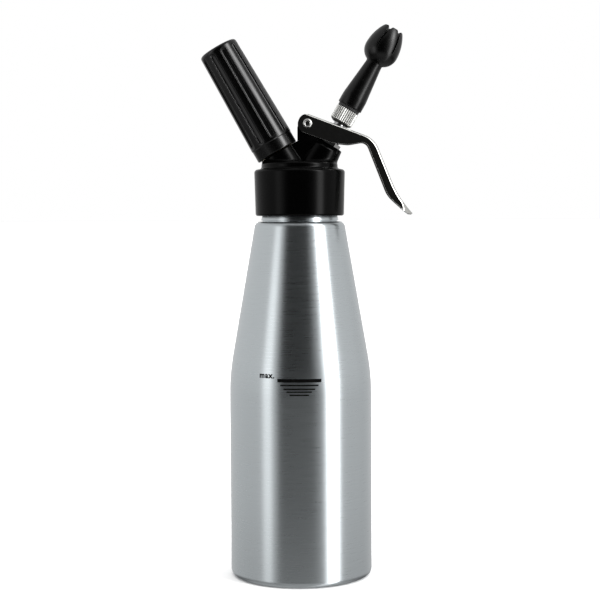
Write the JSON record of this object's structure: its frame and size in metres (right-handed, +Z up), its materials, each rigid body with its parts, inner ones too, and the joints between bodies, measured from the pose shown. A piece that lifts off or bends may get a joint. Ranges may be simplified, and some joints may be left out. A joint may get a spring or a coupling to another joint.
{
  "type": "whipped cream dispenser",
  "caption": "Gas-charged cream whipper: tapered brushed bottle, screwed black head with a sprung lever valve, a tulip nozzle on a knurled adapter and a fluted charger holder.",
  "frame": {"origin": "centre of the flat base that the bottle stands on", "axes": "+Z up along the bottle's axis, +X to the side of the lever and the nozzle, +Y away from the viewer; the head, lever, nozzle and holder axes all lie in the XZ plane"},
  "size_m": [0.1401, 0.095, 0.3682],
  "materials": {
    "bottle": "finely brushed round the axis",
    "head_gasket": "smooth",
    "head": "satin black coating",
    "valve_stem": "turned",
    "valve_poppet": "turned",
    "valve_seal": "smooth",
    "stem_oring": "smooth",
    "gland_nut": "nickel plated",
    "valve_spring": "drawn wire",
    "thrust_ring": "polished",
    "nozzle_adapter": "plated, straight knurl",
    "adapter_seal": "smooth",
    "nozzle_seal": "smooth",
    "decorator_nozzle": "satin black",
    "lever": "polished sheet",
    "lever_pin": "turned",
    "charger_port": "turned",
    "port_seal": "smooth",
    "check_valve_sleeve": "smooth",
    "piercing_pin": "turned",
    "charger_seal": "smooth",
    "gas_charger": "zinc plated",
    "charger_cap": "foil",
    "charger_holder": "satin black coating",
    "holder_liner": "turned"
  },
  "bodies": {
    "bottle": {"bottle": "bottle"},
    "gasket": {"head_gasket": "head_gasket"},
    "head": {"head": "head", "gland_nut": "gland_nut", "charger_port": "charger_port", "port_seal": "port_seal", "check_valve_sleeve": "check_valve_sleeve", "piercing_pin": "piercing_pin", "charger_seal": "charger_seal"},
    "lever": {"lever": "lever", "lever_pin": "lever_pin"},
    "valve": {"valve_stem": "valve_stem", "valve_poppet": "valve_poppet", "valve_seal": "valve_seal", "stem_oring": "stem_oring", "valve_spring": "valve_spring", "thrust_ring": "thrust_ring", "nozzle_adapter": "nozzle_adapter", "adapter_seal": "adapter_seal"},
    "nozzle_ring": {"nozzle_seal": "nozzle_seal"},
    "nozzle": {"decorator_nozzle": "decorator_nozzle"},
    "charger": {"gas_charger": "gas_charger", "charger_cap": "charger_cap"},
    "holder": {"charger_holder": "charger_holder", "holder_liner": "holder_liner"}
  },
  "joints": [
    {"name": "head_rise", "type": "slide", "parent": "bottle", "child": "gasket", "axis": [0, 0, 1], "range_m": [0, 0.024]},
    {"name": "head_turn", "type": "hinge", "parent": "gasket", "child": "head", "pos_m": [0, 0, 0.252], "axis": [0, 0, 1], "range_deg": [0, 2160.1]},
    {"name": "lever_press", "type": "hinge", "parent": "head", "child": "lever", "pos_m": [0.00545, 0, 0.30251], "axis": [0, 1, 0], "range_deg": [0, 10.51]},
    {"name": "valve_slide", "type": "slide", "parent": "head", "child": "valve", "axis": [-0.5, 0, -0.866], "range_m": [0, 0.00343], "stiffness_N_per_m": 1500, "springref_m": -0.002, "deforming": ["valve_spring"]},
    {"name": "nozzle_rise", "type": "slide", "parent": "valve", "child": "nozzle_ring", "axis": [0.5, 0, 0.866], "range_m": [0, 0.01]},
    {"name": "nozzle_turn", "type": "hinge", "parent": "nozzle_ring", "child": "nozzle", "pos_m": [0, 0, 0.2556], "axis": [0.5, 0, 0.866], "range_deg": [0, 1800.2]},
    {"name": "charger_rise", "type": "slide", "parent": "head", "child": "charger", "axis": [-0.497, 0, 0.8678], "range_m": [0, 0.018]},
    {"name": "holder_turn", "type": "hinge", "parent": "charger", "child": "holder", "pos_m": [0, 0, 0.25828], "axis": [-0.497, 0, 0.8678], "range_deg": [0, 2160.1]}
  ],
  "couplings": [
    {"joint": "head_turn", "follows": "head_rise", "rad_per_m": 1570.8},
    {"joint": "lever_press", "follows": "valve_slide", "rad_per_m": 53.39},
    {"joint": "nozzle_turn", "follows": "nozzle_rise", "rad_per_m": 3141.6},
    {"joint": "holder_turn", "follows": "charger_rise", "rad_per_m": 2094.4}
  ]
}
